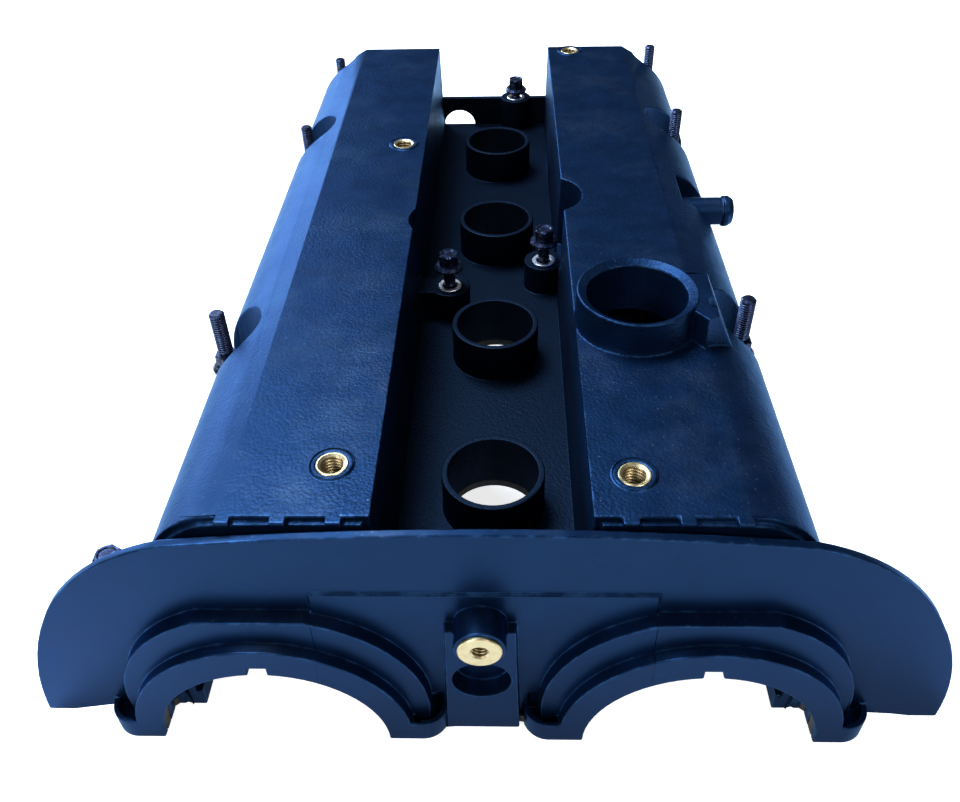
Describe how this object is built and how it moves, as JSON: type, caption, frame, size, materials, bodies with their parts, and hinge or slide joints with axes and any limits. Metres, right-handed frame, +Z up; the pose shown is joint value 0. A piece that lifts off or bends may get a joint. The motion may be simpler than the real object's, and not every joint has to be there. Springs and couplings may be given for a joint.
{
  "type": "engine valve cover",
  "caption": "Black plastic valve cover of a twin-cam engine with plug tubes, oil filler neck, breather nipple, brass inserts and captive bolts.",
  "frame": {"origin": "on the sealing plane, at the middle of the cover's length and width", "axes": "+Z up off the cylinder head, +Y along the camshafts from the timing end to the rear, +X to the side with the filler neck"},
  "size_m": [0.309, 0.3964, 0.109],
  "materials": {
    "black_nylon": "moulded black glass-filled nylon with a fine leather grain and a soft blue sheen",
    "brass": "turned, bright",
    "bright_steel": "zinc plated, bright",
    "dark_steel": "black zinc plating, satin",
    "black_rubber": "moulded rubber, matt"
  },
  "bodies": {
    "cover": {"cover_body": "black_nylon", "front_boss_insert": "brass", "front_left_insert": "brass", "front_right_insert": "brass", "rear_left_insert": "brass", "rear_right_insert": "brass", "perimeter_gasket": "black_rubber", "plug_tube_seal_1": "black_rubber", "plug_tube_seal_2": "black_rubber", "plug_tube_seal_3": "black_rubber", "plug_tube_seal_4": "black_rubber", "left_island_seal": "black_rubber", "right_island_seal": "black_rubber", "left_oil_baffle": "black_nylon", "right_oil_baffle": "black_nylon", "front_left_sleeve": "bright_steel", "front_right_sleeve": "bright_steel", "middle_left_sleeve": "bright_steel", "middle_right_sleeve": "bright_steel", "rear_left_sleeve": "bright_steel", "rear_right_sleeve": "bright_steel", "plate_left_sleeve": "bright_steel", "plate_right_sleeve": "bright_steel", "valley_left_sleeve": "bright_steel", "valley_right_sleeve": "bright_steel", "rear_centre_sleeve": "bright_steel"},
    "front_left_stud_bolt_body": {"front_left_stud_bolt": "dark_steel"},
    "front_right_stud_bolt_body": {"front_right_stud_bolt": "dark_steel"},
    "middle_left_stud_bolt_body": {"middle_left_stud_bolt": "dark_steel"},
    "middle_right_stud_bolt_body": {"middle_right_stud_bolt": "dark_steel"},
    "rear_left_stud_bolt_body": {"rear_left_stud_bolt": "dark_steel"},
    "rear_right_stud_bolt_body": {"rear_right_stud_bolt": "dark_steel"},
    "plate_left_bolt_body": {"plate_left_bolt": "dark_steel"},
    "valley_left_bolt_body": {"valley_left_bolt": "dark_steel"},
    "valley_right_bolt_body": {"valley_right_bolt": "dark_steel"},
    "rear_centre_bolt_body": {"rear_centre_bolt": "dark_steel"}
  },
  "joints": [
    {"name": "front_left_stud_bolt_slide", "type": "slide", "parent": "cover", "child": "front_left_stud_bolt_body", "axis": [0, 0, 1], "range_m": [-0.0083, 0.004]},
    {"name": "front_right_stud_bolt_slide", "type": "slide", "parent": "cover", "child": "front_right_stud_bolt_body", "axis": [0, 0, 1], "range_m": [-0.0084, 0.004]},
    {"name": "middle_left_stud_bolt_slide", "type": "slide", "parent": "cover", "child": "middle_left_stud_bolt_body", "axis": [0, 0, 1], "range_m": [-0.002, 0.004]},
    {"name": "middle_right_stud_bolt_slide", "type": "slide", "parent": "cover", "child": "middle_right_stud_bolt_body", "axis": [0, 0, 1], "range_m": [-0.007, 0.004]},
    {"name": "rear_left_stud_bolt_slide", "type": "slide", "parent": "cover", "child": "rear_left_stud_bolt_body", "axis": [0, 0, 1], "range_m": [-0.0021, 0.004]},
    {"name": "rear_right_stud_bolt_slide", "type": "slide", "parent": "cover", "child": "rear_right_stud_bolt_body", "axis": [0, 0, 1], "range_m": [-0.0074, 0.004]},
    {"name": "plate_left_bolt_slide", "type": "slide", "parent": "cover", "child": "plate_left_bolt_body", "axis": [0, 0, 1], "range_m": [-0.0039, 0.004]},
    {"name": "valley_left_bolt_slide", "type": "slide", "parent": "cover", "child": "valley_left_bolt_body", "axis": [0, 0, 1], "range_m": [-0.0087, 0.004]},
    {"name": "valley_right_bolt_slide", "type": "slide", "parent": "cover", "child": "valley_right_bolt_body", "axis": [0, 0, 1], "range_m": [-0.0088, 0.004]},
    {"name": "rear_centre_bolt_slide", "type": "slide", "parent": "cover", "child": "rear_centre_bolt_body", "axis": [0, 0, 1], "range_m": [-0.0034, 0.004]}
  ]
}
